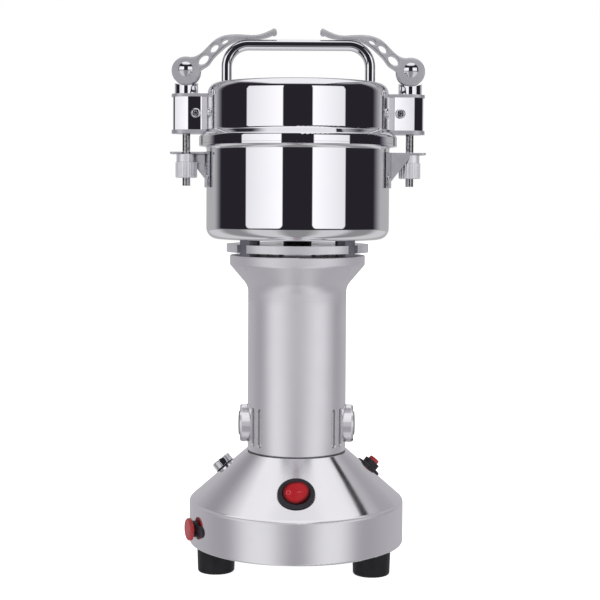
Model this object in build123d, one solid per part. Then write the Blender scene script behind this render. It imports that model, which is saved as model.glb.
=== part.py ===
from build123d import *
import os
from math import acos, asin, atan2, cos, degrees, radians, sin, sqrt, tan

os.makedirs("parts", exist_ok=True)

# Sizes in millimetres. The origin is on the floor under the shaft, +Z is up, the front faces -Y.
overrun = 2.0
running_gap = 0.05
moving_gap = 0.3
screw_gap = 0.1
plate_gap = 0.2

# Rubber feet
foot_height = 14.1
foot_top_radius = 11.9
foot_bottom_radius = 11.4
foot_round = 1.2
foot_inset = 12.5
foot_angles = (-33, -153, 87)
foot_recess_radius = 4.6
foot_recess_depth = 5.0

# Screws
m4_radius = 2.0
m4_head_radius = 3.7
m4_head_height = 2.4
m3_radius = 1.5
m3_head_radius = 2.6
m3_head_height = 2.0
head_round_share = 0.6
recess_width_share = 0.3
recess_length_share = 1.3
recess_depth_share = 0.5

# Base
base_radius = 68.6
base_wall_height = 26.75
cone_height = 31.2
cone_top_radius = 33.0
base_wall = 2.4
base_deck = 4.0
base_edge_round = 3.0
base_lip_round = 1.2
deck_hole_radius = 19.0
plate_thickness = 1.5
foot_boss_radius = 4.5
foot_screw_grip = 9.0

# Round rocker switch
switch_slope_share = 0.565
bezel_radius = 11.5
bezel_height = 2.2
bezel_round = 0.9
barrel_radius = 9.9
barrel_depth = 15.0
rocker_ball_radius = 8.3
rocker_lift = 1.6
rocker_valley = 1.0
rocker_tilt = 8
rocker_depth = 4.5
rocker_well = 7.5
trunnion_radius = 0.5
trunnion_reach = 9.5

# Overload breaker
breaker_slope_share = 0.45
breaker_angle = 17
breaker_nut_radius = 8.5
breaker_nut_height = 1.8
breaker_nut_round = 0.9
breaker_collar_radius = 5.3
breaker_collar_height = 5.4
breaker_body_width = 14.0
breaker_body_length = 20.0
breaker_body_depth = 18.0
breaker_body_drop = 5.0
reset_radius = 3.5
reset_height = 2.6
reset_round = 0.9
reset_travel = 2.0
reset_stem_depth = 6.0

# Fuse holder
fuse_slope_share = 0.42
fuse_angle = 165
fuse_tube_radius = 6.0
fuse_tube_depth = 27.0
fuse_flange_radius = 6.7
fuse_flange_height = 0.8
fuse_cap_radius = 6.6
fuse_cap_height = 5.0
fuse_cap_round = 0.7
fuse_cap_slot_width = 1.4
fuse_cap_slot_depth = 1.0
fuse_radius = 2.5
fuse_plug_radius = 3.6
fuse_length = 20.0
fuse_cap_plug = 3.0

# Push button on the straight wall
pulse_angle = -158
pulse_height = 26.3
pulse_plate_length = 28.0
pulse_plate_width = 7.0
pulse_plate_thickness = 1.0
pulse_sleeve_radius = 5.0
pulse_sleeve_depth = 6.0
pulse_stem_radius = 3.2
pulse_stem_depth = 4.5
pulse_cap_radius = 7.0
pulse_cap_height = 2.2
pulse_cap_round = 1.0
pulse_cap_gap = 1.6

# Cord inlet gland
gland_slope_share = 0.49
gland_angle = 110
gland_flange_radius = 8.5
gland_flange_height = 2.0
gland_dome_radius = 6.2
gland_dome_height = 7.0
gland_dome_round = 2.5
gland_bore_radius = 3.3
gland_thread_radius = 6.0
gland_thread_depth = 8.0
gland_nut_radius = 8.5
gland_nut_height = 3.0

# Motor column
column_height = 125.5
column_radius = 31.5
column_bore = 28.3
column_groove = 0.7
column_groove_height = 0.9
flange_radius = 43.2
flange_height = 6.1
flare_height = 13.8
flare_round = 10.0
flange_round = 2.0
flange_top_round = 0.6
column_deck = 10.2
boss_circle = 26.0
boss_radius = 3.25
boss_height = 7.0
brush_height = 17.3
brush_boss_radius = 12.15
brush_boss_rise = 3.4
brush_face_radius = 11.4
brush_face_rise = 1.4
slot_width = 4.4
slot_length = 24.6
slot_bottom = 4.6
slot_angles = (28.5, 42)
slot_depth = 1.6

# Brushes
holder_radius = 6.5
holder_inner_reach = 13.5
brush_width = 6.0
brush_length = 9.0
brush_outer_reach = 24.5
cap_radius = 7.6
cap_height = 0.9
cap_round = 0.6
cap_plug_radius = 4.6
cap_plug_depth = 3.5
cap_slot_width = 1.6
cap_slot_depth = 0.6
spring_wire_radius = 0.4
spring_radius = 2.2
spring_turns = 4

# Motor
shaft_radius = 4.0
bearing_radius = 11.0
bearing_width = 7.0
bearing_groove = 0.8
bearing_rim = 2.4
bracket_thickness = 3.0
bracket_hub_radius = 14.0
bracket_lip = 1.0
bracket_lip_radius = 8.0
bracket_air_circle = 18.3
bracket_air_radius = 2.8
bracket_air_count = 8
shaft_end_gap = 0.5
commutator_radius = 10.5
commutator_length = 12.0
commutator_bars = 16
commutator_slit = 0.5
commutator_slit_depth = 1.2
commutator_slit_share = 0.9
stack_bottom = 39.3
stack_headroom = 44.2
stator_ring = 4.7
pole_half_angle = 36
coil_half_angle = 72
coil_clear_angle = 1
coil_end = 6.0
coil_gap = 0.4
armature_radius = 16.9
air_gap = 0.5
armature_slots = 12
armature_slot_width = 2.8
armature_slot_depth = 6.0
winding_radius = 15.0
winding_end = 7.0
fan_drop = 34.0
fan_radius = 22.0
fan_hub_radius = 7.0
fan_plate = 1.4
fan_blade_height = 9.0
fan_blade_width = 1.4
fan_blades = 12
deck_shaft_radius = 5.5

# Disc and posts under the bowl
post_height = 10.3
post_circle = 39.6
post_width = 9.5
post_depth = 6.4
post_angles = (40, 140, 220, 320)
disc_radius = 45.4
disc_rise = 2.0
disc_thickness = 5.1
disc_hub_radius = 19.0
disc_bore_radius = 6.0
disc_screw_circle = 14.5
disc_screw_grip = 6.0
post_screw_grip = 6.0

# Bowl
bowl_radius = 58.2
bowl_height = 60.1
bowl_wall = 1.2
bowl_corner = 7.0
lip_width = 4.7
lip_thickness = 1.2
lip_fillet = 2.4
seal_radius = 9.0
seal_flange_radius = 12.0
seal_flange_height = 1.5
seal_round = 0.6

# Blades
shoulder_rise = 8.3
shaft_tip_radius = 3.0
shaft_tip_length = 17.0
spacer_radius = 7.0
spacer_height = 2.0
blade_gap = 4.0
blade_thickness = 2.0
blade_tip_gap = 9.0
blade_width = 15.0
upper_blade_share = 0.75
upper_blade_width = 13.0
blade_edge_share = 0.36
blade_nut_flat = 10.0
blade_nut_height = 5.0

# Lid
lid_inset = 0.7
lid_rise = 38.4
lid_wall = 1.2
lid_shoulder = 6.5
rim_height = 4.8
shelf_rise = 3.5
shelf_round = 2.0
lid_seat_gap = 0.1
gasket_ledge = 0.8
gasket_side_gap = 0.2

# Handle
handle_inset = 8.8
handle_top_share = 0.332
handle_bar = 6.2
handle_depth = 11.5
handle_bend_share = 0.690559
handle_round = 2.4
handle_screw_inset = 4.3
handle_screw_grip = 9.0

# Clamps on the lid
rod_offset = 13.0
rod_radius = 2.5
rod_tail = 20.2
box_radius = 8.5
box_wall = 1.5
box_lift = 0.45
box_height = 20.85
box_root_depth = 1.6
saddle_plate_thickness = 1.5
saddle_plate_half_width = 24.85
clamp_plate_radius = 9.4
clamp_plate_top = 1.9
clamp_plate_bottom = 2.4
guide_depth = 11.6
clamp_screw_offset = 6.6
clamp_screw_head_radius = 3.05
clamp_screw_head_height = 1.9
clamp_screw_tail = 0.6
rivet_offset = 20.98
rivet_head_radius = 2.6
rivet_head_height = 1.0
rivet_shank_radius = 1.5
saddle_radius = 7.4
saddle_height = 5.2
saddle_seat_radius = 16.0

# Cam levers
pin_offset = 1.0
cam_radius = 8.9
cam_gap = 0.3
lever_width = 12.0
fork_width = 5.8
eye_radius = 4.8
eye_width = 5.0
eye_room = 5.5
pin_radius = 3.0
pin_head_radius = 4.65
pin_head_height = 1.9
pin_head_rim = 0.4
lever_length = 57.2
lever_lean = 45
lever_upper_shares = (
    (0.02, 0.138), (0.115, 0.145), (0.23, 0.236), (0.31, 0.314), (0.391, 0.36), (0.52, 0.384),
    (0.66, 0.381), (0.775, 0.379), (0.866, 0.402), (0.968, 0.451))
lever_tip_share = (1.0, 0.434)
lever_lower_shares = (
    (0.953, 0.392), (0.883, 0.364), (0.706, 0.345), (0.555, 0.322), (0.449, 0.268),
    (0.357, 0.19), (0.286, 0.115), (0.242, 0.056), (0.185, 0.018), (0.15, -0.01))
lever_hole_shares = (
    (0.193, 0.109, 0.07, 0.048, 42),
    (0.313, 0.236, 0.058, 0.039, 44),
    (0.43, 0.31, 0.046, 0.025, 30))

# Knurled nuts and lower brackets
ear_drop = 5.2
ear_thickness = 1.2
ear_overhang = 9.8
ear_half_width = 9.5
ear_corner = 3.0
ear_slot_angle = 20
back_plate_thickness = 1.3
back_plate_height = 22.4
back_plate_half_width = 22.0
gusset_gap = 0.7
gusset_drop = 18.0
gusset_thickness = 1.3
gusset_round = 2.0
nut_radius = 6.9
nut_collar_radius = 6.3
nut_height = 15.1
nut_collar_share = 0.34
nut_chamfer = 0.6
nut_flutes = 22
nut_flute_radius = 0.55
lower_rivet_offset = 16.8

# Reaches from the shaft outwards
foot_circle = base_radius - foot_inset
cone_width = base_radius - cone_top_radius
switch_cone_radius = cone_top_radius + cone_width * switch_slope_share
breaker_cone_radius = cone_top_radius + cone_width * breaker_slope_share
fuse_cone_radius = cone_top_radius + cone_width * fuse_slope_share
gland_cone_radius = cone_top_radius + cone_width * gland_slope_share
brush_boss_reach = column_radius + brush_boss_rise
brush_face_reach = brush_boss_reach + brush_face_rise
lip_radius = bowl_radius + lip_width
blade_length = 2 * (bowl_radius - bowl_wall - blade_tip_gap)
upper_blade_length = blade_length * upper_blade_share
lid_radius = bowl_radius - lid_inset
rivet_angle = degrees(asin(rivet_offset / lid_radius))
saddle_plate_half_angle = degrees(asin(saddle_plate_half_width / lid_radius))
lower_rivet_angle = degrees(asin(lower_rivet_offset / bowl_radius))
back_plate_half_angle = degrees(asin(back_plate_half_width / bowl_radius))
gasket_inner_radius = lid_radius + gasket_ledge
handle_half_width = lid_radius - handle_inset
handle_screw_reach = handle_half_width - handle_screw_inset
rod_reach = bowl_radius + rod_offset
handle_corner = lever_length * handle_bend_share - (rod_reach - handle_half_width)
box_root = lid_radius - box_root_depth
guide_root = rod_reach - guide_depth
clamp_screw_reach = rod_reach - clamp_screw_offset
ear_reach = rod_reach + ear_overhang
gusset_reach = rod_reach - gusset_gap

# Heights from the floor up
base_bottom = foot_height
plate_top = base_bottom + plate_thickness
base_edge = base_bottom + base_wall_height
cone_top = base_edge + cone_height
column_top = cone_top + column_height
bore_top = column_top - column_deck
boss_top = cone_top + boss_height
bracket_top = boss_top + bracket_thickness
brush_z = cone_top + brush_height
stack_low = cone_top + stack_bottom
stack_height = column_height - stack_bottom - stack_headroom
stack_high = stack_low + stack_height
disc_low = column_top + disc_rise
disc_high = disc_low + disc_thickness
bowl_bottom = column_top + post_height
bowl_floor = bowl_bottom + bowl_wall
bowl_top = bowl_bottom + bowl_height
shoulder = bowl_floor + shoulder_rise
rim_bottom = bowl_top + lid_seat_gap
shelf_low = rim_bottom + rim_height
shelf_high = shelf_low + shelf_rise
lid_top = bowl_top + lid_rise
box_bottom = shelf_high + box_lift
box_top = box_bottom + box_height
saddle_low = box_top + clamp_plate_top
cam_z = saddle_low + saddle_height + cam_gap + cam_radius
pin_z = cam_z + pin_offset
handle_top = pin_z + lever_length * handle_top_share
ear_top = bowl_top - ear_drop
ear_low = ear_top - ear_thickness
rod_bottom = ear_low - rod_tail
nut_top = ear_low - running_gap
cone_slope = atan2(cone_height, cone_width)


# Shapes used by several parts

def rounded_face(points):
    # A closed face whose corners carry the round given as a third value.
    corners = []
    for index, point in enumerate(points):
        corner = Vector(point[0], point[1])
        if len(point) < 3:
            corners.append((corner, corner, corner))
            continue
        before = points[index - 1]
        after = points[(index + 1) % len(points)]
        one = (Vector(before[0], before[1]) - corner).normalized()
        two = (Vector(after[0], after[1]) - corner).normalized()
        half = acos(one.dot(two)) / 2
        middle = (one + two).normalized()
        centre = corner + middle * (point[2] / sin(half))
        reach = point[2] / tan(half)
        corners.append((corner + one * reach, centre - middle * point[2], corner + two * reach))
    edges = []
    for index, (start, mid, end) in enumerate(corners):
        if (end - start).length > 0:
            edges.append(ThreePointArc(start, mid, end))
        following = corners[(index + 1) % len(corners)][0]
        if (following - end).length > 0:
            edges.append(Line(end, following))
    return make_face(edges)


def turned(points):
    return revolve(Plane.XZ * rounded_face(points), Axis.Z)


def drum(radius, low, high):
    return Pos(0, 0, low) * Cylinder(radius, high - low, align=(Align.CENTER, Align.CENTER, Align.MIN))


def ring(outer, inner, low, high):
    return turned([(inner, low), (outer, low), (outer, high), (inner, high)])


def sector(outer, inner, low, high, start, end):
    face = rounded_face([(inner, low), (outer, low), (outer, high), (inner, high)])
    return Rot(0, 0, start) * revolve(Plane.XZ * face, Axis.Z, end - start)


def block(x_range, y_range, z_range):
    size = [high - low for low, high in (x_range, y_range, z_range)]
    centre = [(high + low) / 2 for low, high in (x_range, y_range, z_range)]
    return Pos(*centre) * Box(*size)


def side_plate(face, width):
    # A face drawn in X and Z, thickened evenly about the plane Y = 0.
    return extrude(Plane.XZ * face, amount=width / 2, both=True)


def polar(radius, angle):
    return (radius * cos(radians(angle)), radius * sin(radians(angle)))


def around(shape, radius, angles, height=0):
    places = [polar(radius, angle) for angle in angles]
    return [Pos(x, y, height) * shape for x, y in places]


def pan_screw(shank, head_radius, head_height, length):
    # The head stands above z = 0 and the shank hangs below it.
    head = turned([
        (0, 0), (head_radius, 0), (head_radius, head_height, head_height * head_round_share),
        (0, head_height)])
    width = head_radius * recess_width_share
    span = head_radius * recess_length_share
    depth = head_height * recess_depth_share
    for across, along in ((width, span), (span, width)):
        cross = Box(across, along, depth + overrun, align=(Align.CENTER, Align.CENTER, Align.MIN))
        head -= Pos(0, 0, head_height - depth) * cross
    return head + drum(shank, -length, 0)


def on_side(angle, height):
    # Local +Z points straight out from the shaft at this angle.
    return Pos(0, 0, height) * Rot(0, 0, angle) * Rot(0, 90, 0)


def cone_seat(angle, radius, seat_radius):
    # Plane of the flat spot that takes a round fitting on the cone.
    height = base_edge + (base_radius - radius) * tan(cone_slope)
    out = Vector(cos(radians(angle)), sin(radians(angle)), 0)
    normal = out * sin(cone_slope) + Vector(0, 0, cos(cone_slope))
    sag = seat_radius ** 2 * sin(cone_slope) / (2 * radius)
    origin = out * radius + Vector(0, 0, height) - normal * sag
    along = Vector(-sin(radians(angle)), cos(radians(angle)), 0)
    return Plane(origin=origin, x_dir=along, z_dir=normal)


switch_seat = cone_seat(-90, switch_cone_radius, bezel_radius)
breaker_seat = cone_seat(breaker_angle, breaker_cone_radius, breaker_nut_radius)
fuse_seat = cone_seat(fuse_angle, fuse_cone_radius, fuse_flange_radius)
gland_seat = cone_seat(gland_angle, gland_cone_radius, gland_flange_radius)
pulse_place = on_side(pulse_angle, pulse_height)
brush_places = [on_side(angle, brush_z) for angle in (0, 180)]


# Base

def base_outer():
    return turned([
        (0, base_bottom), (base_radius, base_bottom, base_lip_round),
        (base_radius, base_edge, base_edge_round), (cone_top_radius, cone_top), (0, cone_top)])


def base_inner():
    deck_low = cone_top - base_deck
    edge = base_edge - base_wall * (1 - sin(cone_slope)) / cos(cone_slope)
    drop = base_wall + (deck_low - base_edge) * cos(cone_slope)
    return turned([
        (0, base_bottom - overrun), (base_radius - base_wall, base_bottom - overrun),
        (base_radius - base_wall, edge), (base_radius - drop / sin(cone_slope), deck_low),
        (0, deck_low)])


def base_shell():
    outer = base_outer()
    shell = outer - base_inner()
    for boss in around(drum(foot_boss_radius, plate_top, cone_top), foot_circle, foot_angles):
        shell += boss & outer
    hole_top = foot_recess_depth + foot_screw_length() + overrun
    holes = around(drum(m4_radius + screw_gap, base_bottom, hole_top), foot_circle, foot_angles)
    bolt_hole = drum(m3_radius + screw_gap, cone_top - base_deck - overrun, cone_top + overrun)
    holes += around(bolt_hole, boss_circle, range(0, 360, 90))
    holes.append(drum(deck_hole_radius, cone_top - base_deck - overrun, cone_top + overrun))
    for seat, flat, hole in (
            (switch_seat, bezel_radius, barrel_radius),
            (breaker_seat, breaker_nut_radius, breaker_collar_radius),
            (fuse_seat, fuse_flange_radius, fuse_tube_radius),
            (gland_seat, gland_flange_radius, gland_thread_radius)):
        holes.append(seat * drum(flat + plate_gap, 0, flat))
        holes.append(seat * drum(hole, -hole, hole))
    depth = base_wall + overrun
    holes.append(pulse_place * drum(pulse_sleeve_radius, base_radius - depth, base_radius + overrun))
    return shell - holes


def bottom_plate():
    plate = drum(base_radius - base_wall - plate_gap, base_bottom, plate_top)
    hole = drum(m4_radius + screw_gap, base_bottom - overrun, plate_top + overrun)
    return plate - around(hole, foot_circle, foot_angles)


def rubber_feet():
    hole = m4_radius + screw_gap
    foot = turned([
        (foot_recess_radius, 0), (foot_bottom_radius, 0, foot_round), (foot_top_radius, foot_height),
        (hole, foot_height), (hole, foot_recess_depth), (foot_recess_radius, foot_recess_depth)])
    return around(foot, foot_circle, foot_angles)


def foot_screw_length():
    return plate_top - foot_recess_depth + foot_screw_grip


def foot_screws():
    screw = Rot(180, 0, 0) * pan_screw(m4_radius, m4_head_radius, m4_head_height, foot_screw_length())
    return around(screw, foot_circle, foot_angles, foot_recess_depth)


# Fittings on the base

def switch_bezel():
    bezel = turned([
        (0, 0), (bezel_radius, 0), (bezel_radius, bezel_height, bezel_round), (0, bezel_height)])
    bezel += drum(barrel_radius, -barrel_depth, 0)
    bezel -= drum(rocker_ball_radius + moving_gap, -rocker_well, bezel_height + overrun)
    bore = Rot(90, 0, 0) * Cylinder(trunnion_radius + running_gap, 2 * (trunnion_reach + plate_gap))
    return switch_seat * (bezel - Pos(0, 0, rocker_lift) * bore)


def rocker():
    # Two facets rise from a shallow valley over the trunnions; the left side starts pressed.
    reach = 2 * rocker_ball_radius
    body = Sphere(rocker_ball_radius)
    body &= block((-reach, reach), (-reach, reach), (-rocker_depth, reach))
    for side in (1, -1):
        facet = block((-reach, reach), (-reach, reach), (0, reach))
        body -= Pos(0, 0, rocker_valley) * Rot(0, -side * rocker_tilt, 0) * facet & block(
            (min(0, side * reach), max(0, side * reach)), (-reach, reach), (-reach, reach))
    body += Rot(90, 0, 0) * Cylinder(trunnion_radius, 2 * trunnion_reach)
    return switch_seat * Pos(0, 0, rocker_lift) * Rot(0, -rocker_tilt, 0) * body


def breaker_body():
    collar = drum(breaker_collar_radius, -breaker_body_depth, breaker_collar_height)
    half_width = breaker_body_width / 2
    half_length = breaker_body_length / 2
    body = collar + block(
        (-half_length, half_length), (-half_width, half_width),
        (-breaker_body_depth - breaker_body_drop, -breaker_body_drop))
    depth = reset_stem_depth + reset_travel + moving_gap
    return breaker_seat * (body - drum(
        reset_radius + moving_gap, breaker_collar_height - depth, breaker_collar_height + overrun))


def breaker_nut():
    nut = turned([
        (breaker_collar_radius, 0), (breaker_nut_radius, 0),
        (breaker_nut_radius, breaker_nut_height, breaker_nut_round),
        (breaker_collar_radius, breaker_nut_height)])
    return breaker_seat * nut


def reset_button():
    top = breaker_collar_height + reset_height
    return breaker_seat * turned([
        (0, breaker_collar_height - reset_stem_depth),
        (reset_radius, breaker_collar_height - reset_stem_depth),
        (reset_radius, top, reset_round), (0, top)])


def fuse_holder():
    body = drum(fuse_flange_radius, 0, fuse_flange_height)
    body += drum(fuse_tube_radius, -fuse_tube_depth, fuse_flange_height)
    room = fuse_cap_plug + moving_gap
    body -= drum(fuse_plug_radius + moving_gap, fuse_flange_height - room, fuse_flange_height + overrun)
    low = fuse_flange_height - room - fuse_length
    return fuse_seat * (body - drum(fuse_radius, low, fuse_flange_height))


def fuse():
    high = fuse_flange_height - fuse_cap_plug - moving_gap
    return fuse_seat * drum(fuse_radius, high - fuse_length, high)


def fuse_cap():
    low = fuse_flange_height + running_gap
    high = low + fuse_cap_height
    cap = turned([
        (0, low - fuse_cap_plug), (fuse_plug_radius, low - fuse_cap_plug), (fuse_plug_radius, low),
        (fuse_cap_radius, low), (fuse_cap_radius, high, fuse_cap_round), (0, high)])
    half = fuse_cap_slot_width / 2
    return fuse_seat * (cap - block(
        (-fuse_cap_radius, fuse_cap_radius), (-half, half), (high - fuse_cap_slot_depth, high + overrun)))


def pulse_button_collar():
    # Curved plate lying on the wall, with a sleeve that guides the stem inside.
    outer = base_radius + pulse_plate_thickness
    pill = SlotOverall(pulse_plate_length, pulse_plate_width, rotation=90)
    plate = pulse_place * extrude(Pos(0, 0, base_radius / 2) * pill, base_radius)
    plate &= drum(outer, 0, cone_top)
    plate -= drum(base_radius, 0, cone_top)
    sleeve = drum(pulse_sleeve_radius, base_radius - pulse_sleeve_depth, base_radius + overrun)
    sleeve = pulse_place * sleeve & drum(outer, 0, cone_top)
    depth = pulse_stem_depth + pulse_cap_gap
    bore = drum(pulse_stem_radius + moving_gap, base_radius - depth, base_radius + overrun)
    return plate + sleeve - pulse_place * bore


def pulse_button():
    low = base_radius + pulse_plate_thickness + pulse_cap_gap
    high = low + pulse_cap_height
    return pulse_place * turned([
        (0, base_radius - pulse_stem_depth), (pulse_stem_radius, base_radius - pulse_stem_depth),
        (pulse_stem_radius, low), (pulse_cap_radius, low), (pulse_cap_radius, high, pulse_cap_round),
        (0, high)])


def cord_gland():
    high = gland_flange_height + gland_dome_height
    body = turned([
        (gland_bore_radius, -gland_thread_depth), (gland_thread_radius, -gland_thread_depth),
        (gland_thread_radius, 0), (gland_flange_radius, 0),
        (gland_flange_radius, gland_flange_height), (gland_dome_radius, gland_flange_height),
        (gland_dome_radius, high, gland_dome_round), (gland_bore_radius, high)])
    nut_high = -base_wall
    nut = drum(gland_nut_radius, nut_high - gland_nut_height, nut_high)
    nut -= drum(gland_thread_radius, nut_high - gland_nut_height - overrun, nut_high + overrun)
    return [gland_seat * body, gland_seat * nut & base_inner()]


# Motor column

def column_outer():
    flange_low = column_top - flange_height
    foot = column_radius - column_groove
    body = turned([
        (0, cone_top), (foot, cone_top), (foot, cone_top + column_groove_height),
        (column_radius, cone_top + column_groove_height),
        (column_radius, flange_low - flare_height, flare_round), (flange_radius, flange_low, flange_round),
        (flange_radius, column_top, flange_top_round), (0, column_top)])
    boss = turned([
        (0, 0), (brush_boss_radius, 0), (brush_boss_radius, brush_boss_reach),
        (brush_face_radius, brush_face_reach), (0, brush_face_reach)])
    return body + [place * boss for place in brush_places]


def column_housing():
    body = column_outer() - drum(column_bore, cone_top - overrun, bore_top)
    body += around(drum(boss_radius, cone_top, boss_top), boss_circle, range(0, 360, 90))
    holes = around(drum(m3_radius + screw_gap, cone_top - overrun, boss_top + overrun),
                   boss_circle, range(0, 360, 90))
    holes.append(drum(bearing_radius, bore_top - overrun, bore_top + bearing_width))
    holes.append(drum(deck_shaft_radius, bore_top, column_top + overrun))
    holes += [place * drum(holder_radius, holder_inner_reach, brush_face_reach + overrun)
              for place in brush_places]
    slot = extrude(SlotOverall(slot_length, slot_width, rotation=0), slot_depth, both=True)
    middle = cone_top + slot_bottom + slot_length / 2
    for side in (0, 180):
        for angle in slot_angles:
            for sign in (1, -1):
                holes.append(on_side(side + sign * angle, middle) * Pos(0, 0, column_radius) * slot)
    grip = drum(m4_radius + screw_gap, column_top - post_screw_grip - overrun, column_top + overrun)
    holes += around(grip, post_circle, post_angles)
    grip = drum(m3_radius + screw_gap, column_top - disc_screw_grip - overrun, column_top + overrun)
    holes += around(grip, disc_screw_circle, post_angles)
    return body - holes


def column_bolts():
    length = base_deck + boss_height + bracket_thickness
    bolt = Rot(180, 0, 0) * pan_screw(m3_radius, m3_head_radius, m3_head_height, length)
    return around(bolt, boss_circle, range(0, 360, 90), cone_top - base_deck)


def brush_holders():
    low, high = holder_inner_reach, brush_face_reach
    tube = drum(holder_radius, low, high)
    half_width = brush_width / 2
    half_length = brush_length / 2
    tube -= block((-half_length, half_length), (-half_width, half_width), (low - overrun, high + overrun))
    tube -= drum(cap_plug_radius, high - cap_plug_depth, high + overrun)
    return [place * tube for place in brush_places]


def carbon_brushes():
    half_width = brush_width / 2
    half_length = brush_length / 2
    bar = block((-half_length, half_length), (-half_width, half_width), (0, brush_outer_reach))
    wheel = drum(commutator_radius + running_gap * 2, 0, column_top)
    return [place * bar - wheel for place in brush_places]


def brush_springs():
    room = brush_face_reach - cap_plug_depth - brush_outer_reach
    height = room - spring_wire_radius * 2
    path = Helix(height / spring_turns, height, spring_radius)
    wire = sweep(Plane(path @ 0, z_dir=path % 0) * Circle(spring_wire_radius), path=path, is_frenet=True)
    return [place * Pos(0, 0, brush_outer_reach + spring_wire_radius) * wire for place in brush_places]


def brush_caps():
    low = brush_face_reach
    cap = turned([
        (0, low - cap_plug_depth), (cap_plug_radius, low - cap_plug_depth), (cap_plug_radius, low),
        (cap_radius, low), (cap_radius, low + cap_height, cap_round), (0, low + cap_height)])
    half = cap_slot_width / 2
    cap -= block((-cap_radius, cap_radius), (-half, half),
                 (low + cap_height - cap_slot_depth, low + cap_height + overrun))
    return [place * cap for place in brush_places]


# Motor

def motor_bracket():
    pocket_low = bracket_top - bearing_width
    body = drum(column_bore, boss_top, bracket_top)
    body += drum(bracket_hub_radius, pocket_low - bracket_lip, bracket_top)
    body -= drum(bearing_radius, pocket_low, bracket_top + overrun)
    body -= drum(bracket_lip_radius, pocket_low - bracket_lip - overrun, bracket_top)
    air = drum(bracket_air_radius, boss_top - overrun, bracket_top + overrun)
    step = 360 / bracket_air_count
    holes = around(air, bracket_air_circle, [step * (index + 0.5) for index in range(bracket_air_count)])
    bolt_hole = drum(m3_radius + screw_gap, boss_top - overrun, bracket_top + overrun)
    return body - holes - around(bolt_hole, boss_circle, range(0, 360, 90))


def bearing(low):
    inner = shaft_radius + running_gap
    body = ring(bearing_radius, inner, low, low + bearing_width)
    outer_edge = bearing_radius - bearing_rim
    inner_edge = inner + bearing_rim
    for start in (low - overrun, low + bearing_width - bearing_groove):
        body -= ring(outer_edge, inner_edge, start, start + bearing_groove + overrun)
    return body


def lower_bearing():
    return bearing(bracket_top - bearing_width)


def upper_bearing():
    return bearing(bore_top)


def stator_core():
    core = ring(column_bore, column_bore - stator_ring, stack_low, stack_high)
    face = armature_radius + air_gap
    for middle in (90, 270):
        core += sector(column_bore - stator_ring / 2, face, stack_low, stack_high,
                       middle - pole_half_angle, middle + pole_half_angle)
    return core


def field_coils():
    outer = column_bore - stator_ring
    inner = armature_radius + air_gap + coil_gap
    coils = []
    neck = pole_half_angle + coil_clear_angle
    for middle in (90, 270):
        coil = sector(outer, inner, stack_low - coil_end, stack_high + coil_end,
                      middle - coil_half_angle, middle + coil_half_angle)
        coil -= sector(outer + overrun, inner - overrun, stack_low, stack_high,
                       middle - neck, middle + neck)
        coils.append(coil)
    return coils


def motor_shaft():
    low = bracket_top - bearing_width + shaft_end_gap
    return drum(shaft_radius, low, shoulder) + drum(shaft_tip_radius, shoulder, shoulder + shaft_tip_length)


def armature_core():
    core = ring(armature_radius, shaft_radius, stack_low, stack_high)
    return core - armature_slot_bars(armature_slot_width, stack_low - overrun, stack_high + overrun)


def armature_slot_bars(width, low, high):
    inner = armature_radius - armature_slot_depth
    bar = block((inner, armature_radius + overrun), (-width / 2, width / 2), (low, high))
    return [Rot(0, 0, 360 / armature_slots * index) * bar for index in range(armature_slots)]


def armature_winding():
    inner = shaft_radius + armature_slot_depth / 2
    winding = ring(winding_radius, inner, stack_low - winding_end, stack_low)
    winding += ring(winding_radius, inner, stack_high, stack_high + winding_end)
    width = armature_slot_width - screw_gap * 2
    limit = drum(winding_radius, stack_low, stack_high)
    return winding + [bar & limit for bar in armature_slot_bars(width, stack_low, stack_high)]


def commutator():
    low = brush_z - commutator_length / 2
    body = ring(commutator_radius, shaft_radius, low, low + commutator_length)
    inner = commutator_radius - commutator_slit_depth
    half = commutator_slit / 2
    high = low + commutator_length * commutator_slit_share
    slit = block((inner, commutator_radius + overrun), (-half, half), (low - overrun, high))
    return body - [Rot(0, 0, 360 / commutator_bars * index) * slit for index in range(commutator_bars)]


def cooling_fan():
    low = column_top - fan_drop
    fan = ring(fan_radius, shaft_radius, low, low + fan_plate)
    fan += ring(fan_hub_radius, shaft_radius, low, low + fan_blade_height)
    half = fan_blade_width / 2
    blade = block((fan_hub_radius - half, fan_radius - half), (-half, half), (low, low + fan_blade_height))
    return fan + [Rot(0, 0, 360 / fan_blades * index) * blade for index in range(fan_blades)]


# Disc, posts and bowl

def mount_disc():
    disc = drum(disc_radius, disc_low, disc_high) + drum(disc_hub_radius, column_top, disc_high)
    disc -= drum(disc_bore_radius, column_top - overrun, disc_high + overrun)
    inner = post_circle - post_depth / 2
    half = post_width / 2
    notch = block((inner, disc_radius + overrun), (-half, half), (disc_low - overrun, disc_high + overrun))
    disc -= [Rot(0, 0, angle) * notch for angle in post_angles]
    hole = drum(m3_radius + screw_gap, column_top - overrun, disc_high + overrun)
    head = drum(m3_head_radius + screw_gap, disc_high - m3_head_height, disc_high + overrun)
    disc -= around(hole, disc_screw_circle, post_angles)
    return disc - around(head, disc_screw_circle, post_angles)


def mount_disc_screws():
    seat = disc_high - m3_head_height
    screw = pan_screw(m3_radius, m3_head_radius, m3_head_height, seat - column_top + disc_screw_grip)
    return around(screw, disc_screw_circle, post_angles, seat)


def standoff_posts():
    half_depth = post_depth / 2
    half_width = post_width / 2
    post = block((post_circle - half_depth, post_circle + half_depth), (-half_width, half_width),
                 (column_top, bowl_bottom))
    hole = drum(m4_radius + screw_gap, column_top - overrun, bowl_bottom + overrun)
    post -= Pos(post_circle, 0, 0) * hole
    return [Rot(0, 0, angle) * post for angle in post_angles]


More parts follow.
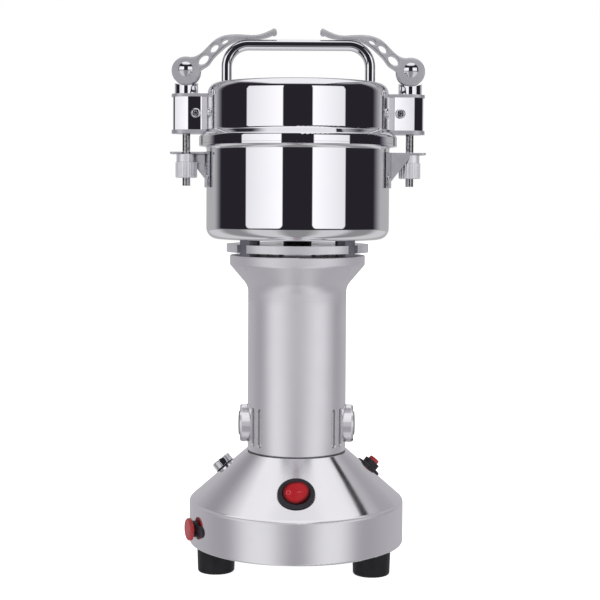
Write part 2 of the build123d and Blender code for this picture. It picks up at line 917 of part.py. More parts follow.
def standoff_screws():
    length = bowl_floor - column_top + post_screw_grip
    screw = pan_screw(m4_radius, m4_head_radius, m4_head_height, length)
    return around(screw, post_circle, post_angles, bowl_floor)


def bowl():
    inner = bowl_radius - bowl_wall
    shell = turned([
        (seal_radius, bowl_bottom), (bowl_radius, bowl_bottom, bowl_corner),
        (bowl_radius, bowl_top - lip_thickness, lip_fillet), (lip_radius, bowl_top - lip_thickness),
        (lip_radius, bowl_top), (inner, bowl_top), (inner, bowl_floor, bowl_corner - bowl_wall),
        (seal_radius, bowl_floor)])
    hole = drum(m4_radius + screw_gap, bowl_bottom - overrun, bowl_floor + overrun)
    return shell - around(hole, post_circle, post_angles)


def shaft_seal():
    inner = shaft_radius + running_gap
    top = bowl_floor + seal_flange_height
    return turned([
        (inner, disc_high), (seal_radius, disc_high), (seal_radius, bowl_floor),
        (seal_flange_radius, bowl_floor), (seal_flange_radius, top, seal_round), (inner, top)])


def flat_blade(length, width, low):
    # A flat bar with slanted cutting edges on opposite sides.
    half = length / 2
    side = width / 2
    edge = half * blade_edge_share
    slope = side * blade_edge_share
    face = rounded_face([
        (-half, -side + slope), (-edge, -side), (half, -side), (half, side - slope), (edge, side),
        (-half, side)])
    blade = extrude(Pos(0, 0, low) * face, blade_thickness)
    return blade - drum(shaft_tip_radius + running_gap, low - overrun, low + blade_thickness + overrun)


def grinding_blades():
    low = shoulder + spacer_height
    high = low + blade_thickness + blade_gap
    upper = Rot(0, 0, 90) * flat_blade(upper_blade_length, upper_blade_width, high)
    return [flat_blade(blade_length, blade_width, low), upper]


def blade_spacers():
    inner = shaft_tip_radius + running_gap
    low = shoulder + spacer_height + blade_thickness
    return [ring(spacer_radius, inner, shoulder, shoulder + spacer_height),
            ring(spacer_radius, inner, low, low + blade_gap)]


def blade_nut():
    low = shoulder + spacer_height + blade_thickness * 2 + blade_gap
    hexagon = RegularPolygon(blade_nut_flat / 2, 6, major_radius=False)
    nut = extrude(Pos(0, 0, low) * hexagon, blade_nut_height)
    return nut - drum(shaft_tip_radius + running_gap, low - overrun, low + blade_nut_height + overrun)


# Lid

def lid_outer():
    return turned([
        (0, rim_bottom), (lip_radius, rim_bottom), (lip_radius, shelf_low, shelf_round),
        (lid_radius, shelf_high, shelf_round), (lid_radius, lid_top, lid_shoulder), (0, lid_top)])


def shelf_under(radius):
    # Height of the underside of the shelf at this radius.
    share = (lip_radius - lid_wall - radius) / (lip_radius - lid_radius)
    return shelf_low - lid_wall + shelf_rise * share


def lid():
    inner = lid_radius - lid_wall
    rim = lip_radius - lid_wall
    hollow = turned([
        (0, rim_bottom - overrun), (rim, rim_bottom - overrun), (rim, shelf_under(rim)),
        (inner, shelf_under(inner)), (inner, lid_top - lid_wall, lid_shoulder - lid_wall),
        (0, lid_top - lid_wall)])
    shell = lid_outer() - hollow
    hole = drum(m3_radius + screw_gap, lid_top - lid_wall - overrun, lid_top + overrun)
    shell -= around(hole, handle_screw_reach, (0, 180))
    shell -= bracket_rivet_holes()
    return shell


def lid_gasket():
    outer = lip_radius - lid_wall - gasket_side_gap
    return turned([
        (gasket_inner_radius, bowl_top), (outer, bowl_top), (outer, shelf_under(outer) - running_gap),
        (gasket_inner_radius, shelf_under(gasket_inner_radius) - running_gap)])


def handle():
    foot = lid_top - lid_shoulder
    inner = handle_half_width - handle_bar
    inner_corner = handle_corner - handle_bar
    face = rounded_face([
        (-handle_half_width, foot), (-inner, foot), (-inner, handle_top - handle_bar, inner_corner),
        (inner, handle_top - handle_bar, inner_corner), (inner, foot), (handle_half_width, foot),
        (handle_half_width, handle_top, handle_corner), (-handle_half_width, handle_top, handle_corner)])
    bar = side_plate(face, handle_depth)
    sides = bar.faces().filter_by(Axis.Y)
    bar = fillet(sides.edges().filter_by(lambda edge: edge.center().Z > foot), handle_round)
    bar -= lid_outer()
    hole = drum(m3_radius + screw_gap, foot, lid_top + handle_screw_grip)
    return bar - around(hole, handle_screw_reach, (0, 180))


def handle_screws():
    length = lid_wall + handle_screw_grip
    screw = Rot(180, 0, 0) * pan_screw(m3_radius, m3_head_radius, m3_head_height, length)
    return around(screw, handle_screw_reach, (0, 180), lid_top - lid_wall)


# Clamps on the lid. Each right-hand piece is drawn at +X and turned round for the left.

def both_sides(shape):
    return [shape, Rot(0, 0, 180) * shape]


def mirrored_sides(shape):
    return [shape, mirror(shape, about=Plane.YZ)]


def clamp_outline(radius, root):
    middle = (root + rod_reach) / 2
    return Pos(rod_reach, 0) * Circle(radius) + Pos(middle, 0) * Rectangle(rod_reach - root, 2 * radius)


def clamp_solid(radius, root, low, high):
    return extrude(Pos(0, 0, low) * clamp_outline(radius, root), high - low)


def rod_hole(low, high):
    return Pos(rod_reach, 0, 0) * drum(rod_radius + moving_gap, low - overrun, high + overrun)


def clamp_screw_hole():
    reach = box_radius + overrun
    hole = Rot(90, 0, 0) * Cylinder(m3_radius + screw_gap, 2 * reach)
    return Pos(clamp_screw_reach, 0, box_bottom + box_height / 2) * hole


def rivet(grip):
    # Domed heads on both ends of a shank that starts at z = 0.
    dome = turned([
        (0, 0), (rivet_head_radius, 0), (rivet_head_radius, rivet_head_height, rivet_head_height / 2),
        (0, rivet_head_height)])
    return dome + drum(rivet_shank_radius, -grip, 0)


def bracket_rivet_places():
    middle = box_bottom + box_height / 2
    return [on_side(side + sign * rivet_angle, middle) for side in (0, 180) for sign in (1, -1)]


def bracket_rivet_holes():
    low = lid_radius - lid_wall - overrun
    hole = drum(rivet_shank_radius, low, lid_radius + saddle_plate_thickness + overrun)
    return [place * hole for place in bracket_rivet_places()]


def clamp_brackets():
    strip = clamp_solid(box_radius, box_root, box_bottom, box_top)
    strip -= clamp_solid(box_radius - box_wall, 0, box_bottom - overrun, box_top + overrun)
    plate = sector(lid_radius + saddle_plate_thickness, lid_radius - lid_wall, box_bottom, box_top,
                   -saddle_plate_half_angle, saddle_plate_half_angle)
    bracket = strip + plate - lid_outer() - clamp_screw_hole()
    return [side - bracket_rivet_holes() for side in both_sides(bracket)]


def clamp_plates():
    plates = []
    for low, high in ((box_bottom - clamp_plate_bottom, box_bottom), (box_top, saddle_low)):
        plate = clamp_solid(clamp_plate_radius, box_root, low, high) - rod_hole(low, high)
        plates += both_sides(plate - lid_outer())
    return plates


def guide_blocks():
    body = clamp_solid(box_radius - box_wall, guide_root, box_bottom, box_top)
    return both_sides(body - rod_hole(box_bottom, box_top) - clamp_screw_hole())


def clamp_screws():
    length = box_radius * 2 + clamp_screw_tail
    screw = pan_screw(m3_radius, clamp_screw_head_radius, clamp_screw_head_height, length)
    place = Pos(clamp_screw_reach, -box_radius, box_bottom + box_height / 2) * Rot(90, 0, 0)
    return mirrored_sides(place * screw)


def bracket_rivets():
    face = lid_radius + saddle_plate_thickness
    body = Pos(0, 0, face) * rivet(saddle_plate_thickness + lid_wall)
    return [place * body for place in bracket_rivet_places()]


def saddles():
    rise = saddle_seat_radius - sqrt(saddle_seat_radius ** 2 - saddle_radius ** 2)
    seat_z = saddle_low + saddle_height
    body = Pos(rod_reach, 0, 0) * drum(saddle_radius, saddle_low, seat_z + rise)
    seat = Rot(90, 0, 0) * Cylinder(saddle_seat_radius, 2 * saddle_radius + overrun)
    body -= Pos(rod_reach, 0, seat_z + saddle_seat_radius) * seat
    return both_sides(body - rod_hole(saddle_low, seat_z))


# Cam levers and pull rods, drawn at -X with the arm reaching towards +X

def lever_point(share):
    return (share[0] * lever_length, share[1] * lever_length)


def lever_face():
    upper = [lever_point(share) for share in lever_upper_shares]
    lower = [lever_point(share) for share in lever_lower_shares]
    tip = lever_point(lever_tip_share)
    edges = [
        Spline(*upper), ThreePointArc(upper[-1], tip, lower[0]), Spline(*lower),
        Line(lower[-1], (0, 0)), Line((0, 0), upper[0])]
    return make_face(edges) + Pos(0, -pin_offset) * Circle(cam_radius)


def lever_at_pin():
    body = side_plate(lever_face(), lever_width)
    for across, up, long_half, short_half, lean in lever_hole_shares:
        x, z = lever_point((across, up))
        outline = Ellipse(long_half * lever_length, short_half * lever_length)
        hole = side_plate(outline, lever_width + overrun)
        body -= Pos(x, 0, z) * Rot(0, -lean, 0) * hole
    room = lever_length
    half = fork_width / 2
    fork = block((-room, eye_room), (-half, half), (-room, room))
    body -= Rot(0, -lever_lean, 0) * fork
    return body - Rot(90, 0, 0) * Cylinder(pin_radius, lever_width + overrun)


def pin_at_pin():
    half = lever_width / 2
    top = half + pin_head_height
    dome_height = pin_head_height - pin_head_rim
    dome_radius = (pin_head_radius ** 2 + dome_height ** 2) / (2 * dome_height)
    head = drum(pin_head_radius, half, top) & Pos(0, 0, top - dome_radius) * Sphere(dome_radius)
    return Rot(90, 0, 0) * (drum(pin_radius, -half, half) + head + mirror(head, about=Plane.XY))


def at_left_pin(shape):
    return Pos(-rod_reach, 0, pin_z) * shape


def pull_rod():
    rod = drum(rod_radius, rod_bottom - pin_z, 0)
    rod += Rot(90, 0, 0) * Cylinder(eye_radius, eye_width)
    return at_left_pin(rod - Rot(90, 0, 0) * Cylinder(pin_radius + running_gap, eye_width + overrun))


def knurled_nut():
    low = nut_top - nut_height
    collar = nut_top - nut_height * nut_collar_share
    nut = turned([
        (rod_radius + running_gap, low), (nut_radius - nut_chamfer, low), (nut_radius, low + nut_chamfer),
        (nut_radius, collar), (nut_collar_radius, collar), (nut_collar_radius, nut_top),
        (rod_radius + running_gap, nut_top)])
    flute = Pos(nut_radius, 0, 0) * drum(nut_flute_radius, low - overrun, collar)
    nut -= [Rot(0, 0, 360 / nut_flutes * index) * flute for index in range(nut_flutes)]
    return Pos(-rod_reach, 0, 0) * nut


# Lower brackets on the bowl

def lower_rivet_places():
    middle = ear_top - back_plate_height * 3 / 4
    return [on_side(side + sign * lower_rivet_angle, middle) for side in (0, 180) for sign in (1, -1)]


def lower_bracket():
    face = bowl_radius + back_plate_thickness
    body = sector(face, bowl_radius, ear_top - back_plate_height, ear_top,
                  -back_plate_half_angle, back_plate_half_angle)
    ear = rounded_face([
        (bowl_radius / 2, -ear_half_width), (ear_reach, -ear_half_width, ear_corner),
        (ear_reach, ear_half_width, ear_corner), (bowl_radius / 2, ear_half_width)])
    body += extrude(Pos(0, 0, ear_low) * ear, ear_thickness)
    gusset = rounded_face([
        (bowl_radius / 2, ear_top), (gusset_reach, ear_top), (gusset_reach, ear_low - gusset_round),
        (bowl_radius, ear_low - gusset_drop), (bowl_radius / 2, ear_low - gusset_drop)])
    middle = ear_half_width - gusset_thickness / 2
    body += Pos(0, -middle, 0) * side_plate(gusset, gusset_thickness)
    body -= drum(bowl_radius, 0, lid_top)
    inner = rod_reach - rod_radius - moving_gap
    outer = rod_reach + rod_radius + moving_gap
    body -= sector(outer, inner, ear_low - overrun, ear_top + overrun, 0, ear_slot_angle)
    return body - rod_hole(ear_low, ear_top)


def lower_rivet_holes():
    hole = drum(rivet_shank_radius, bowl_radius, bowl_radius + back_plate_thickness + overrun)
    return [place * hole for place in lower_rivet_places()]


def lower_brackets():
    return [side - lower_rivet_holes() for side in both_sides(lower_bracket())]


def lower_rivets():
    body = Pos(0, 0, bowl_radius + back_plate_thickness) * rivet(back_plate_thickness)
    return [place * body - drum(bowl_radius, 0, lid_top) for place in lower_rivet_places()]


# Write every part

def save(name, shape):
    solids = shape if isinstance(shape, list) else [shape]
    export_step(Compound(children=[solid for part in solids for solid in part.solids()]),
                f"parts/{name}.step")


lever_left = at_left_pin(lever_at_pin())
pin_left = at_left_pin(pin_at_pin())
rod_left = pull_rod()
nut_left = knurled_nut()

parts = {
    "base_shell": base_shell(),
    "bottom_plate": bottom_plate(),
    "rubber_feet": rubber_feet(),
    "foot_screws": foot_screws(),
    "switch_bezel": switch_bezel(),
    "rocker": rocker(),
    "breaker_body": breaker_body(),
    "breaker_nut": breaker_nut(),
    "reset_button": reset_button(),
    "fuse_holder": fuse_holder(),
    "fuse": fuse(),
    "fuse_cap": fuse_cap(),
    "pulse_button_collar": pulse_button_collar(),
    "pulse_button": pulse_button(),
    "cord_gland": cord_gland(),
    "column_housing": column_housing(),
    "column_bolts": column_bolts(),
    "brush_holders": brush_holders(),
    "carbon_brushes": carbon_brushes(),
    "brush_springs": brush_springs(),
    "brush_caps": brush_caps(),
    "motor_bracket": motor_bracket(),
    "lower_bearing": lower_bearing(),
    "upper_bearing": upper_bearing(),
    "stator_core": stator_core(),
    "field_coils": field_coils(),
    "motor_shaft": motor_shaft(),
    "armature_core": armature_core(),
    "armature_winding": armature_winding(),
    "commutator": commutator(),
    "cooling_fan": cooling_fan(),
    "mount_disc": mount_disc(),
    "mount_disc_screws": mount_disc_screws(),
    "standoff_posts": standoff_posts(),
    "standoff_screws": standoff_screws(),
    "bowl": bowl(),
    "shaft_seal": shaft_seal(),
    "grinding_blades": grinding_blades(),
    "blade_spacers": blade_spacers(),
    "blade_nut": blade_nut(),
    "lid": lid(),
    "lid_gasket": lid_gasket(),
    "handle": handle(),
    "handle_screws": handle_screws(),
    "clamp_brackets": clamp_brackets(),
    "clamp_plates": clamp_plates(),
    "guide_blocks": guide_blocks(),
    "clamp_screws": clamp_screws(),
    "bracket_rivets": bracket_rivets(),
    "saddles": saddles(),
    "cam_lever_left": lever_left,
    "cam_lever_right": mirror(lever_left, about=Plane.YZ),
    "cam_pin_left": pin_left,
    "cam_pin_right": mirror(pin_left, about=Plane.YZ),
    "pull_rod_left": rod_left,
    "pull_rod_right": mirror(rod_left, about=Plane.YZ),
    "knurled_nut_left": nut_left,
    "knurled_nut_right": mirror(nut_left, about=Plane.YZ),
    "lower_brackets": lower_brackets(),
    "lower_rivets": lower_rivets(),
}

for part_name, part_shape in parts.items():
    save(part_name, part_shape)
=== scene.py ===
import math
import bpy
import bmesh
from mathutils import Matrix, Vector
from mathutils.bvhtree import BVHTree


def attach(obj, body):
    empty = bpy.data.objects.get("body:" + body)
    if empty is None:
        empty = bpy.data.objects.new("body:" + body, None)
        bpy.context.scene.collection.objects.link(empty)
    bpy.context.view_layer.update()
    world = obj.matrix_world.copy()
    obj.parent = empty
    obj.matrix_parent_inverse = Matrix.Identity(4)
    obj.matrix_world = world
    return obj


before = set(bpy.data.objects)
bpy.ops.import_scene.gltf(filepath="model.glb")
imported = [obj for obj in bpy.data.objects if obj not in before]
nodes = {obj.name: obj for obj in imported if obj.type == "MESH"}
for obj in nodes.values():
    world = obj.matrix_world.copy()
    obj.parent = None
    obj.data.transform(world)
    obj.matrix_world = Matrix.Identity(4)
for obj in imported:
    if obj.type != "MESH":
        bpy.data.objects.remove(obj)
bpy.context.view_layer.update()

scene = bpy.context.scene


# node tree helpers

def addNode(tree, kind, inputs=None, **settings):
    node = tree.nodes.new(kind)
    for name, value in settings.items():
        setattr(node, name, value)
    for name, value in (inputs or {}).items():
        if isinstance(value, bpy.types.NodeSocket):
            tree.links.new(value, node.inputs[name])
        else:
            node.inputs[name].default_value = value
    return node


def calc(tree, operation, first, second=0.0):
    return addNode(tree, "ShaderNodeMath", {0: first, 1: second}, operation=operation).outputs[0]


def ease(tree, value, fromLow, fromHigh, toLow=0.0, toHigh=1.0, kind="SMOOTHSTEP"):
    node = addNode(tree, "ShaderNodeMapRange", {
        "Value": value, "From Min": fromLow, "From Max": fromHigh, "To Min": toLow, "To Max": toHigh},
        interpolation_type=kind)
    return node.outputs["Result"]


def blendValue(tree, factor, first, second):
    node = addNode(tree, "ShaderNodeMix", {"Factor": factor, "A": first, "B": second}, data_type="FLOAT")
    return node.outputs["Result"]


def ramp(tree, value, stops, interpolation="B_SPLINE"):
    node = addNode(tree, "ShaderNodeValToRGB", {"Fac": value})
    node.color_ramp.interpolation = interpolation
    elements = node.color_ramp.elements
    while len(elements) < len(stops):
        elements.new(1.0)
    for element, (place, level) in zip(elements, stops):
        element.position = place
        element.color = (level, level, level, 1.0)
    return node.outputs["Color"]


# camera at the photograph's place: level with the bowl, looking a little down (metres, degrees, mm)
camera = {
    "place": (0.0, -0.8903, 0.23605), "pitch": 87.4, "roll": 0.3,
    "lens": 83.53, "sensor": 36.0, "shiftX": 0.00433, "shiftY": -0.0703, "near": 0.02}


def placeCamera():
    data = bpy.data.cameras.new("camera")
    data.sensor_fit = "HORIZONTAL"
    data.sensor_width = camera["sensor"]
    data.lens = camera["lens"]
    data.shift_x = camera["shiftX"]
    data.shift_y = camera["shiftY"]
    data.clip_start = camera["near"]
    holder = bpy.data.objects.new("camera", data)
    turn = Matrix.Rotation(math.radians(camera["pitch"]), 4, "X")
    turn = turn @ Matrix.Rotation(math.radians(camera["roll"]), 4, "Z")
    holder.matrix_world = Matrix.Translation(camera["place"]) @ turn
    scene.collection.objects.link(holder)
    scene.camera = holder


# studio for the mirror parts: white cards left and right, dark flags between them, pools of light on
# the floor and an overhead card; angles in degrees round the axis from the camera's side, and above the
# horizon, slopes sideways over height
studio = {
    "tint": (1.0, 0.99, 1.015, 1.0), "sharpShade": (1.06, 0.97, 1.24, 1.0), "sharpShadeTo": (0.02, 0.3),
    "leftCard": (18.8, 67.2), "rightCard": (18.0, 61.0),
    "cardLow": -1.4, "cardHigh": 25.0, "corner": 5.5, "stretch": 33.0, "sideBlur": 0.8, "topBlur": 1.5,
    "cardInner": 1.12, "cardOuter": 0.86,
    "flag": 0.0195, "wall": 0.45, "leftWall": (108.0, 130.0), "rightWall": (105.0, 130.0),
    "floor": 0.64, "floorShade": 0.28, "floorFrom": (-3.5, -9.0), "pools": 4.0, "poolEdge": 0.8,
    "ceiling": 0.95, "ceilingLeft": (-0.85, -0.5), "ceilingRight": (0.69, 0.66),
    "beyond": 0.45, "beyondFrom": (0.75, 0.80), "ceilingFlag": 0.03, "ceilingFrom": (40.0, 52.0),
    "flattest": 0.05}
# studio for the satin parts: stripes round the horizon, one set below and one above it, and overhead
satinStudio = {
    "softShade": (1.0, 0.975, 1.04, 1.0), "softShadeTo": (0.3, 0.9),
    "lowTurn": (0.97, 1.05), "highTurn": (1.02, 0.93), "highFrom": (-12.2, -11.0), "overFrom": (12.0, 20.0),
    "overSlope": 1.6,
    "frontCard": 0.95, "frontFrom": (32.0, 42.0), "frontTo": (76.0, 68.0), "frontSide": (0.12, 0.02)}

# brightness round the horizon for the satin parts: (angle / 180, level)
lowStripes = [
    (0.0, 0.36), (0.055, 0.43), (0.12, 0.74), (0.20, 0.86), (0.285, 0.80), (0.35, 0.58),
    (0.41, 0.40), (0.48, 0.38), (0.58, 0.43), (0.72, 0.49), (1.0, 0.5)]
highStripes = [
    (0.0, 0.555), (0.07, 0.575), (0.14, 0.66), (0.21, 0.77), (0.28, 0.81), (0.34, 0.77), (0.40, 0.63),
    (0.46, 0.49), (0.53, 0.395), (0.60, 0.41), (0.70, 0.48), (1.0, 0.52)]
# brightness across the overhead card and the flag beside it: (sideways slope, level)
overStripes = [
    (-1.6, 0.48), (-1.3, 0.42), (-1.1, 0.345), (-0.97, 0.34), (-0.86, 0.43), (-0.72, 0.68), (-0.58, 0.94),
    (-0.33, 0.95), (-0.2, 0.87), (0.2, 0.87), (0.33, 0.95), (0.6, 0.94), (0.708, 0.84), (0.716, 0.015),
    (0.812, 0.015), (0.82, 0.57), (0.94, 0.48), (1.06, 0.4), (1.25, 0.42), (1.6, 0.48)]


def sharpCard(tree, along, height, span):
    inner, outer = span
    edge = studio["corner"]
    fromInner = calc(tree, "SUBTRACT", inner + edge, along)
    fromOuter = calc(tree, "SUBTRACT", along, outer - edge)
    across = calc(tree, "MAXIMUM", calc(tree, "MAXIMUM", fromInner, fromOuter), 0.0)
    drop = calc(tree, "SUBTRACT", studio["cardLow"] + edge / studio["stretch"], height)
    below = calc(tree, "MAXIMUM", calc(tree, "MULTIPLY", drop, studio["stretch"]), 0.0)
    squares = calc(tree, "ADD", calc(tree, "POWER", across, 2.0), calc(tree, "POWER", below, 2.0))
    reach = calc(tree, "SQRT", squares)
    mask = ease(tree, reach, edge + studio["sideBlur"], edge - studio["sideBlur"])
    top, blur = studio["cardHigh"], studio["topBlur"]
    mask = calc(tree, "MULTIPLY", mask, ease(tree, height, top + blur, top - blur))
    level = ease(tree, along, inner, outer, studio["cardInner"], studio["cardOuter"], "LINEAR")
    return calc(tree, "MULTIPLY", mask, level)


def sideSlope(tree, x, z):
    return calc(tree, "DIVIDE", x, calc(tree, "MAXIMUM", z, studio["flattest"]))


def sharpStudio(tree, x, z, azimuth, height):
    left = calc(tree, "MULTIPLY", azimuth, -1.0)
    light = sharpCard(tree, left, height, studio["leftCard"])
    light = calc(tree, "ADD", light, sharpCard(tree, azimuth, height, studio["rightCard"]))
    for along, span in ((left, studio["leftWall"]), (azimuth, studio["rightWall"])):
        light = calc(tree, "ADD", light, ease(tree, along, *span, 0.0, studio["wall"]))
    light = calc(tree, "MAXIMUM", light, studio["flag"])
    ripple = calc(tree, "COSINE", calc(tree, "MULTIPLY", azimuth, math.radians(studio["pools"])))
    edge = studio["poolEdge"]
    ground = ease(tree, ripple, edge, -edge, studio["floorShade"], studio["floor"])
    ground = calc(tree, "MULTIPLY", ground, ease(tree, height, *studio["floorFrom"]))
    light = calc(tree, "MAXIMUM", light, ground)
    slope = sideSlope(tree, x, z)
    card = calc(tree, "MULTIPLY", ease(tree, slope, *studio["ceilingLeft"]),
                ease(tree, slope, *studio["ceilingRight"]))
    beyond = ease(tree, slope, *studio["beyondFrom"], 0.0, studio["beyond"])
    above = calc(tree, "ADD", calc(tree, "MULTIPLY", card, studio["ceiling"]), beyond)
    above = calc(tree, "MAXIMUM", above, studio["ceilingFlag"])
    return blendValue(tree, ease(tree, height, *studio["ceilingFrom"]), light, above)


def softStudio(tree, x, y, z, azimuth, height):
    turn = calc(tree, "DIVIDE", calc(tree, "ABSOLUTE", azimuth), 180.0)
    onRight = calc(tree, "GREATER_THAN", azimuth, 0.0)
    lowTurn = blendValue(tree, onRight, *satinStudio["lowTurn"])
    low = ramp(tree, calc(tree, "MULTIPLY", turn, lowTurn), lowStripes)
    highTurn = blendValue(tree, onRight, *satinStudio["highTurn"])
    high = ramp(tree, calc(tree, "MULTIPLY", turn, highTurn), highStripes)
    light = blendValue(tree, ease(tree, height, *satinStudio["highFrom"]), low, high)
    limit = satinStudio["overSlope"]
    across = ease(tree, sideSlope(tree, x, z), -limit, limit, kind="LINEAR")
    stops = [((place + limit) / (2 * limit), level) for place, level in overStripes]
    above = ramp(tree, across, stops, "LINEAR")
    light = blendValue(tree, ease(tree, height, *satinStudio["overFrom"]), light, above)
    band = calc(tree, "MULTIPLY", ease(tree, height, *satinStudio["frontFrom"]),
                ease(tree, height, *satinStudio["frontTo"]))
    front = calc(tree, "MULTIPLY", ease(tree, y, *satinStudio["frontSide"]), band)
    return blendValue(tree, front, light, satinStudio["frontCard"])


def tintedLight(tree, level, shade, span):
    color = addNode(tree, "ShaderNodeMix", {"Factor": ease(tree, level, *span)}, data_type="RGBA")
    color.inputs["A"].default_value = shade
    color.inputs["B"].default_value = studio["tint"]
    return addNode(tree, "ShaderNodeBackground", {"Color": color.outputs["Result"], "Strength": level})


def buildStudio():
    world = bpy.data.worlds.new("studio")
    world.use_nodes = True
    tree = world.node_tree
    tree.nodes.clear()
    way = addNode(tree, "ShaderNodeTexCoord").outputs["Generated"]
    parts = addNode(tree, "ShaderNodeSeparateXYZ", {0: way})
    x, y, z = parts.outputs
    toDegrees = 180.0 / math.pi
    turn = calc(tree, "ARCTAN2", x, calc(tree, "MULTIPLY", y, -1.0))
    azimuth = calc(tree, "MULTIPLY", turn, toDegrees)
    height = calc(tree, "MULTIPLY", calc(tree, "ARCSINE", z), toDegrees)
    level = sharpStudio(tree, x, z, azimuth, height)
    sharp = tintedLight(tree, level, studio["sharpShade"], studio["sharpShadeTo"])
    level = softStudio(tree, x, y, z, azimuth, height)
    soft = tintedLight(tree, level, satinStudio["softShade"], satinStudio["softShadeTo"])
    white = addNode(tree, "ShaderNodeBackground", {"Color": (1.0, 1.0, 1.0, 1.0), "Strength": 1.0})
    path = addNode(tree, "ShaderNodeLightPath")
    lit = addNode(tree, "ShaderNodeMixShader", {
        0: path.outputs["Is Singular Ray"], 1: soft.outputs[0], 2: sharp.outputs[0]})
    seen = addNode(tree, "ShaderNodeMixShader", {
        0: path.outputs["Is Camera Ray"], 1: lit.outputs[0], 2: white.outputs[0]})
    addNode(tree, "ShaderNodeOutputWorld", {"Surface": seen.outputs[0]})
    scene.world = world
    scene.view_settings.view_transform = "Standard"
    scene.view_settings.look = "None"


floor = {"half": 6.0, "color": (0.92, 0.92, 0.92, 1.0), "glow": 0.85, "rough": 0.9, "gloss": 0.1}


def layFloor():
    mesh = bpy.data.meshes.new("floor")
    shape = bmesh.new()
    bmesh.ops.create_grid(shape, x_segments=1, y_segments=1, size=floor["half"])
    shape.to_mesh(mesh)
    shape.free()
    ground = bpy.data.objects.new("floor", mesh)
    scene.collection.objects.link(ground)
    material = bpy.data.materials.new("paperFloor")
    material.use_nodes = True
    skin = material.node_tree.nodes["Principled BSDF"]
    skin.inputs["Base Color"].default_value = floor["color"]
    skin.inputs["Roughness"].default_value = floor["rough"]
    skin.inputs["Specular IOR Level"].default_value = floor["gloss"]
    skin.inputs["Emission Color"].default_value = (1.0, 1.0, 1.0, 1.0)
    skin.inputs["Emission Strength"].default_value = floor["glow"]
    mesh.materials.append(material)
    ground.visible_glossy = False


placeCamera()
buildStudio()
layFloor()
print("camera, studio and floor placed")


# shared effects: noise detail and roughness, the range that makes a blotch, samples, and the occlusion range
# over which painted shade darkens closed corners
effects = {
    "fine": (3.0, 0.6), "broad": (4.0, 0.65), "blotch": (0.32, 0.68), "linesDetail": 2.0,
    "bevelSamples": 6, "cavitySamples": 8, "closed": (0.35, 0.95)}


def newGroup(name, inputs, outputs):
    group = bpy.data.node_groups.new(name, "ShaderNodeTree")
    for label, value in inputs.items():
        socket = group.interface.new_socket(label, in_out="INPUT", socket_type="NodeSocketFloat")
        socket.default_value = value
    for label, kind in outputs.items():
        group.interface.new_socket(label, in_out="OUTPUT", socket_type=kind)
    return group, group.nodes.new("NodeGroupInput"), group.nodes.new("NodeGroupOutput")


def axisPlace(tree, axis):
    place = addNode(tree, "ShaderNodeTexCoord").outputs["Object"]
    return addNode(tree, "ShaderNodeSeparateXYZ", {0: place}).outputs[axis]


def grainGroup():
    group, given, result = newGroup(
        "surfaceGrain", {"Grain": 900.0, "Patch": 60.0},
        {"Height": "NodeSocketFloat", "Blotch": "NodeSocketFloat"})
    place = addNode(group, "ShaderNodeTexCoord").outputs["Object"]
    noises = []
    for label, kind in (("Grain", "fine"), ("Patch", "broad")):
        detail, rough = effects[kind]
        noise = addNode(group, "ShaderNodeTexNoise", {
            "Vector": place, "Scale": given.outputs[label], "Detail": detail, "Roughness": rough})
        noises.append(noise.outputs["Fac"])
    group.links.new(noises[0], result.inputs["Height"])
    group.links.new(ease(group, noises[1], *effects["blotch"]), result.inputs["Blotch"])
    return group


def edgeGroup():
    group, given, result = newGroup("softEdge", {"Width": 0.0004}, {"Normal": "NodeSocketVector"})
    worn = addNode(group, "ShaderNodeBevel", {"Radius": given.outputs["Width"]},
                   samples=effects["bevelSamples"])
    group.links.new(worn.outputs[0], result.inputs["Normal"])
    return group


def turnedGroup():
    group, given, result = newGroup("turnedLines", {"Lines": 1400.0}, {"Height": "NodeSocketFloat"})
    place = addNode(group, "ShaderNodeTexCoord").outputs["Object"]
    x, y, z = addNode(group, "ShaderNodeSeparateXYZ", {0: place}).outputs
    squares = calc(group, "ADD", calc(group, "MULTIPLY", x, x), calc(group, "MULTIPLY", y, y))
    flat = addNode(group, "ShaderNodeCombineXYZ", {0: calc(group, "SQRT", squares), 2: z})
    lines = addNode(group, "ShaderNodeTexNoise", {
        "Vector": flat.outputs[0], "Scale": given.outputs["Lines"], "Detail": effects["linesDetail"]})
    group.links.new(lines.outputs["Fac"], result.inputs["Height"])
    return group


def threadGroup():
    group, given, result = newGroup("screwThread", {"Pitch": 0.0008}, {"Height": "NodeSocketFloat"})
    turns = calc(group, "FRACT", calc(group, "DIVIDE", axisPlace(group, "Z"), given.outputs["Pitch"]))
    wave = calc(group, "ABSOLUTE", calc(group, "SUBTRACT", turns, 0.5))
    group.links.new(wave, result.inputs["Height"])
    return group


# painted shade: darkens a colour where ambient occlusion finds other surfaces within reach, in recesses,
# crevices and between parts
def cavityGroup():
    group, given, result = newGroup(
        "cavityShade", {"Reach": 0.001, "Dark": 0.4}, {"Shade": "NodeSocketFloat"})
    closed = addNode(group, "ShaderNodeAmbientOcclusion", {"Distance": given.outputs["Reach"]},
                     samples=effects["cavitySamples"])
    shade = ease(group, closed.outputs["AO"], *effects["closed"], given.outputs["Dark"], 1.0)
    group.links.new(shade, result.inputs["Shade"])
    return group


surfaceGrain, softEdge, cavityShade = grainGroup(), edgeGroup(), cavityGroup()
turnedLines, screwThread = turnedGroup(), threadGroup()


# the switch's seat on the cone
switchSeat = {
    "centre": (0.0, -0.05257317, 0.0538049),
    "out": (0.0, -0.659103, 0.752053), "up": (0.0, 0.752053, 0.659103)}
